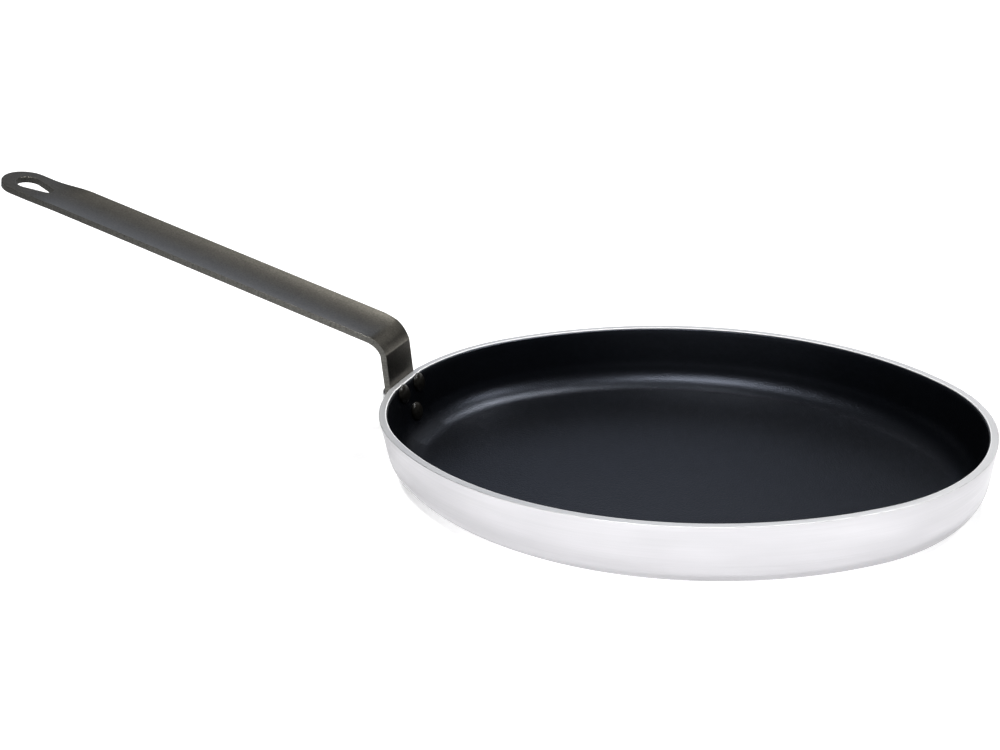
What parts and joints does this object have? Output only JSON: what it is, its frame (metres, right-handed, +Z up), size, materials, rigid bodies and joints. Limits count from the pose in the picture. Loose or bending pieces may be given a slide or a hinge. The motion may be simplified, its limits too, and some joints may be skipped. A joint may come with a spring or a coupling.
{
  "type": "oval fish pan",
  "caption": "Oval frying pan for fish: a pressed aluminium shell with a dark non-stick lining and a long dished strip handle riveted to one end.",
  "frame": {"origin": "centre of the flat base underside, where the pan stands", "axes": "+Z up through the pan, +X along the pan away from the handle, +Y across the pan"},
  "size_m": [0.6499, 0.2778, 0.1589],
  "materials": {
    "shell": "satin, finely brushed round the pan",
    "lining": "semi-matt non-stick film with a fine grain",
    "handle": "semi-matt baked coating on steel strip",
    "rivet": "domed heads, bare outside and coated dark inside the pan"
  },
  "bodies": {
    "root": {"pan_body": "shell", "nonstick_lining": "lining", "handle": "handle", "rivet_upper_left": "rivet", "rivet_upper_right": "rivet", "rivet_lower": "rivet"}
  },
  "joints": []
}
